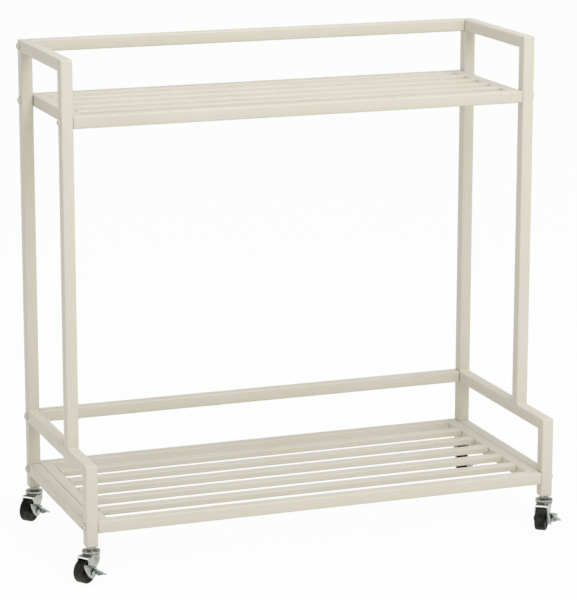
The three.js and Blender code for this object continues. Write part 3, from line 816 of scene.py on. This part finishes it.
def crown_cup():
    """The crown's round rear, pressed up to a rim under the race."""
    rim = -CROWN_TOP + CUP_RISE
    floor = -CROWN_TOP - CUP_LAP
    rounding = CUP_ROUNDING
    edge = CUP_RADIUS - rounding
    profile = [(0, -CROWN_BOTTOM), (CUP_RADIUS - CUP_RIM_EDGE, -CROWN_BOTTOM)]
    profile += arc((edge, -CROWN_BOTTOM + rounding), rounding, -60, 0, 3)
    profile += arc((edge, rim - rounding), rounding, 0, 90, 5)
    profile += [(CUP_INSIDE + CUP_RIM_EDGE, rim), (CUP_INSIDE + CUP_LAP, rim - CUP_RIM_DROP)]
    profile += [(CUP_INSIDE, floor), (0, floor)]
    return turned(profile)


def folded_sheet(drop):
    """Sheet bent down on both sides of the wheel, long enough to cut the fork from."""
    middle = LEG_OUTSIDE - SHEET / 2
    ridge = -CROWN_TOP - SHEET / 2
    right = arc((middle - LEG_BEND, ridge - LEG_BEND), LEG_BEND, 0, 90, 6)
    section = [(middle, -drop - LEG_SPARE), *right]
    section += [(-x, z) for x, z in reversed(section)]
    bm = bmesh.new()
    verts = [bm.verts.new((x, -CROWN_FRONT - MM, z)) for x, z in section]
    edges = [bm.edges.new(pair) for pair in zip(verts, verts[1:])]
    grown = bmesh.ops.extrude_edge_only(bm, edges=edges)["geom"]
    bmesh.ops.translate(bm, vec=Y * (CROWN_FRONT + CUP_RADIUS), verts=only_verts(grown))
    bmesh.ops.recalc_face_normals(bm, faces=bm.faces)
    bmesh.ops.solidify(bm, geom=bm.faces[:], thickness=SHEET)
    bmesh.ops.recalc_face_normals(bm, faces=bm.faces)
    drift = -CROWN_TOP - max(v.co.z for v in bm.verts)
    return moved(bm, Matrix.Translation(Z * drift))


def turned_down_lip():
    """The crown's front edge, bent down in front of the wheel."""
    half = LEG_OUTSIDE - SHEET / 2
    low = Vector((-half, -CROWN_FRONT, -CROWN_BOTTOM - CROWN_LIP))
    high = Vector((half, -CROWN_FRONT + SHEET, -CROWN_TOP - SHEET / 2))
    lip = box_between(low, high)
    long_edges = [e for e in lip.edges if abs(e.verts[0].co.x - e.verts[1].co.x) > MM]
    bevelled(lip, long_edges, LIP_EASE, 2)
    return lip


def pressed_fork(corner, place, trail, drop):
    """Sheet folded over the wheel and cut to outline, with a round cup behind and a front lip."""
    side = stood_on_edge(plate(leg_outline(trail, drop), 4 * LEG_OUTSIDE), -2 * LEG_OUTSIDE)
    fork = combined(folded_sheet(drop), turned_down_lip(), "UNION")
    fork = combined(combined(fork, side, "INTERSECT"), crown_cup(), "UNION")
    hole = rod(RIVET_HOLE_RADIUS, -RIVET_HOLE_REACH, RIVET_HOLE_REACH)
    fork = combined(fork, moved(hole, Matrix.Translation(Z * -CROWN_BOTTOM)), "DIFFERENCE")
    made_piece(
        moved(fork, place), corner + "_pressed_fork", ZINC, corner + "_fork",
        corner + "_caster_fork", sharp=30,
    )


def painted_highlight_edge(corner, place):
    """The crown's turned-down front edge, a lighter zinc strip as a painted highlight."""
    half = LEG_OUTSIDE - EDGE_INSET
    low = Vector((-half, -CROWN_FRONT - EDGE_PROUD, -CROWN_BOTTOM - CROWN_LIP))
    high = Vector((half, -CROWN_FRONT + EDGE_DEPTH, -CROWN_TOP - EDGE_DROP))
    edge = box_between(low, high)
    bevelled(edge, edge.edges[:], EDGE_EASE, 2)
    made_piece(moved(edge, place), corner + "_bright_front_edge", PAINTED_HIGHLIGHT_ZINC, corner + "_fork")


def moulded_wheel(corner, place, trail, drop):
    """Tread with rounded shoulders and a slight crown, and sides let in round the hub."""
    half, radius, shoulder = WHEEL_HALF_WIDTH, WHEEL_RADIUS, WHEEL_SHOULDER
    upper = [(r * MM, half + s * MM) for r, s in WHEEL_SIDE]
    upper += arc((radius - shoulder, half - shoulder), shoulder, 90, 8, 8)
    upper += [(radius - TREAD_CROWN, half * 0.55), *((radius, height) for height in TREAD_FLAT)]
    profile = upper + [(r, -s) for r, s in reversed(upper)]
    wheel = along_axle(turned(profile + [profile[0]], WHEEL_STEPS), trail, drop)
    made_piece(
        moved(wheel, place), corner + "_moulded_wheel", WHEEL_BLACK, corner + "_wheel",
        corner + "_caster_wheel", sharp=28,
    )


def axle_bolt(corner, place, trail, drop):
    """Axle pin with a domed head on the far side and a hexagonal nut outside the lever."""
    nut_at = LEVER_OUTSIDE + AXLE_NUT_GAP
    head_at = -LEG_OUTSIDE - CLEARANCE
    nut = plate(hexagon(AXLE_NUT_FLATS), AXLE_NUT_HEIGHT, AXLE_NUT_EASE)
    moved(nut, Matrix.Translation(Z * nut_at))
    dome = [(r * MM, head_at - h * MM) for r, h in AXLE_HEAD] + [(0, head_at)]
    end = nut_at + AXLE_NUT_HEIGHT
    tip = end - AXLE_TIP
    pin = [(0, head_at), (AXLE_RADIUS, head_at), (AXLE_RADIUS, end - AXLE_TIP_LENGTH)]
    pin += [(AXLE_RADIUS - AXLE_TIP_EASE, tip), (0, tip)]
    bolt = joined(nut, turned(dome, RIVET_STEPS), turned(pin, ROD_STEPS))
    made_piece(
        moved(along_axle(bolt, trail, drop), place), corner + "_axle_bolt", ZINC, corner + "_fork",
        corner + "_caster_axle",
    )


def lever_plate(trail, drop):
    """The flat lever beside the fork's leg, a curved nose and toe about the axle."""
    outline = [(trail + t * MM, drop + h * MM) for t, h in LEVER_OUTLINE]
    return stood_on_edge(plate(outline, LEVER_OUTSIDE - LEVER_INSIDE, LEVER_EASE), LEVER_INSIDE)


def pedal_flange(trail, drop):
    """The forked flange bent out of the lever's upper edge."""
    bm = plate([(k * MM, s * MM) for k, s in PEDAL_OUTLINE], PEDAL_THICK, PEDAL_EASE)
    turn = Matrix((PEDAL_ALONG, X, PEDAL_ALONG.cross(X))).transposed().to_4x4()
    place = Matrix.Translation(Vector((LEVER_OUTSIDE, -trail - PEDAL_AT[0], -drop - PEDAL_AT[1])))
    return moved(bm, place @ turn)


def pedal_web(trail, drop):
    """Web from the pedal's rear edge down to the plate."""
    bm = bmesh.new()
    for out, t, h in WEB_CORNERS:
        point = Vector((LEVER_OUTSIDE + out * MM, -trail - t * MM, -drop - h * MM))
        bm.verts.new(point)
        bm.verts.new(point + WEB_BACK)
    bmesh.ops.convex_hull(bm, input=bm.verts)
    bmesh.ops.recalc_face_normals(bm, faces=bm.faces)
    return bm


def brake_lever(corner, place, trail, drop):
    """The lever with its pedal, web and hub, bored for the axle."""
    inner = LEG_OUTSIDE + CLEARANCE
    outer = LEVER_OUTSIDE + LEVER_HUB_RISE
    radius = LEVER_HUB_RADIUS
    hub = [(0, inner), (radius, inner), (radius, outer - LEVER_EASE)]
    hub += [(radius - LEVER_EASE, outer), (0, outer)]
    lever = combined(lever_plate(trail, drop), pedal_flange(trail, drop), "UNION")
    lever = combined(lever, pedal_web(trail, drop), "UNION")
    lever = combined(lever, along_axle(turned(hub, BOLT_STEPS), trail, drop), "UNION")
    bore = along_axle(rod(LEVER_BORE_RADIUS, inner - MM, outer + MM), trail, drop)
    lever = combined(lever, bore, "DIFFERENCE")
    made_piece(
        moved(lever, place), corner + "_forked_lever", LEVER_ZINC, corner + "_lever",
        corner + "_brake_lever", sharp=30,
    )


def caster(corner):
    place, trail, drop = caster_frame(corner)
    stem_and_race(corner, place)
    pressed_fork(corner, place, trail, drop)
    painted_highlight_edge(corner, place)
    moulded_wheel(corner, place, trail, drop)
    axle_bolt(corner, place, trail, drop)
    brake_lever(corner, place, trail, drop)


# ---------------------------------------------------------------- studio


def camera_rays(tree):
    """1 for rays from the camera, mirrors and clear things, 0 for the light on the object."""
    path = node(tree, "ShaderNodeLightPath")
    seen = arithmetic(tree, "ADD", path.outputs["Is Camera Ray"], path.outputs["Is Glossy Ray"])
    seen = arithmetic(tree, "ADD", seen, path.outputs["Is Transmission Ray"])
    return node(tree, "ShaderNodeClamp", Value=seen).outputs[0]


def studio_floor():
    """A wide pale floor, white to the eye, that keeps the cart's shadow."""
    bm = bmesh.new()
    bmesh.ops.create_grid(bm, x_segments=1, y_segments=1, size=FLOOR_REACH)
    mesh = bpy.data.meshes.new("floor")
    bm.to_mesh(mesh)
    bm.free()
    floor = bpy.data.objects.new("floor", mesh)
    bpy.context.scene.collection.objects.link(floor)
    material = bpy.data.materials.new("floor_white")
    material.use_nodes = True
    tree = material.node_tree
    tree.nodes.clear()
    matt = node(tree, "ShaderNodeBsdfDiffuse", Color=FLOOR_WHITE)
    glow = node(tree, "ShaderNodeEmission", Color=WHITE, Strength=1.0)
    share = arithmetic(tree, "MULTIPLY", camera_rays(tree), FLOOR_GLOW_SHARE)
    mixed = node(tree, "ShaderNodeMixShader", _0=share, _1=matt.outputs[0], _2=glow.outputs[0])
    output = node(tree, "ShaderNodeOutputMaterial")
    tree.links.new(mixed.outputs[0], output.inputs["Surface"])
    mesh.materials.append(material)


def studio_world():
    """White all round to the eye; polished metal sees a white horizon under a dimmer ceiling."""
    world = bpy.data.worlds.new("studio")
    bpy.context.scene.world = world
    world.use_nodes = True
    tree = world.node_tree
    tree.nodes.clear()
    fill = node(tree, "ShaderNodeBackground", Color=FILL_TINT, Strength=FILL_LIGHT)
    direction = node(tree, "ShaderNodeTexCoord").outputs["Generated"]
    height = node(tree, "ShaderNodeSeparateXYZ", Vector=direction).outputs["Z"]
    mirrored = node(tree, "ShaderNodeLightPath").outputs["Is Glossy Ray"]
    overhead = arithmetic(tree, "MULTIPLY", spread(tree, height, *CEILING_EDGE), mirrored)
    room = blended(tree, overhead, WHITE, CEILING_TINT)
    white = node(tree, "ShaderNodeBackground", Color=room, Strength=1.0)
    seen = camera_rays(tree)
    mixed = node(tree, "ShaderNodeMixShader", _0=seen, _1=fill.outputs[0], _2=white.outputs[0])
    output = node(tree, "ShaderNodeOutputWorld")
    tree.links.new(mixed.outputs[0], output.inputs["Surface"])


def soft_box(name, place, target, side, power):
    """A large square lamp at a place, facing a target."""
    data = bpy.data.lights.new(name, "AREA")
    data.shape = "RECTANGLE"
    data.size = data.size_y = side
    data.energy = power
    data.color = LAMP_TINT
    lamp = bpy.data.objects.new(name, data)
    lamp.location = place
    lamp.rotation_mode = "QUATERNION"
    lamp.rotation_quaternion = (target - place).to_track_quat("-Z", "Y")
    bpy.context.scene.collection.objects.link(lamp)


def photo_camera():
    """The camera that took the photograph, from its fitted angles, focal length and place."""
    data = bpy.data.cameras.new("photo_camera")
    data.sensor_width = SENSOR
    long_side = max(PHOTO_WIDTH, PHOTO_HEIGHT)
    data.lens = CAMERA_FOCAL_PX * SENSOR / long_side
    data.shift_x = (PHOTO_WIDTH / 2 - CAMERA_AXIS_PX[0]) / long_side
    data.shift_y = (CAMERA_AXIS_PX[1] - PHOTO_HEIGHT / 2) / long_side
    data.clip_start, data.clip_end = 0.1, 100
    flat = math.cos(CAMERA_ELEVATION)
    right = Vector((math.cos(CAMERA_AZIMUTH), math.sin(CAMERA_AZIMUTH), 0))
    level_back = Vector((math.sin(CAMERA_AZIMUTH), -math.cos(CAMERA_AZIMUTH), 0))
    back = level_back * flat + Z * math.sin(CAMERA_ELEVATION)
    up = back.cross(right)
    level = Matrix((right, up, back)).transposed().to_4x4()
    camera = bpy.data.objects.new("photo_camera", data)
    roll = Matrix.Rotation(CAMERA_ROLL, 4, "Z")
    camera.matrix_world = Matrix.Translation(CAMERA_PLACE) @ level @ roll
    bpy.context.scene.collection.objects.link(camera)
    bpy.context.scene.camera = camera


def studio():
    studio_floor()
    studio_world()
    for name, lamp in LAMPS.items():
        soft_box(name, *lamp)
    photo_camera()
    bpy.context.scene.view_settings.view_transform = "Standard"


# ---------------------------------------------------------------- the cart

for side in ("left", "right"):
    side_frame(side)
    side_welds(side)
for name in ("back_top_rail", "back_lower_rail"):
    enamel_tube(name, 0)
for name in ("upper_shelf_frame", "lower_shelf_frame"):
    shelf_frame(name)
for name in frame["nodes"]:
    if "_slat_" in name:
        slat(name)
    if "_bolt_" in name:
        bolt_head(name)
for corner in ("front_left", "front_right", "rear_left", "rear_right"):
    caster(corner)
studio()
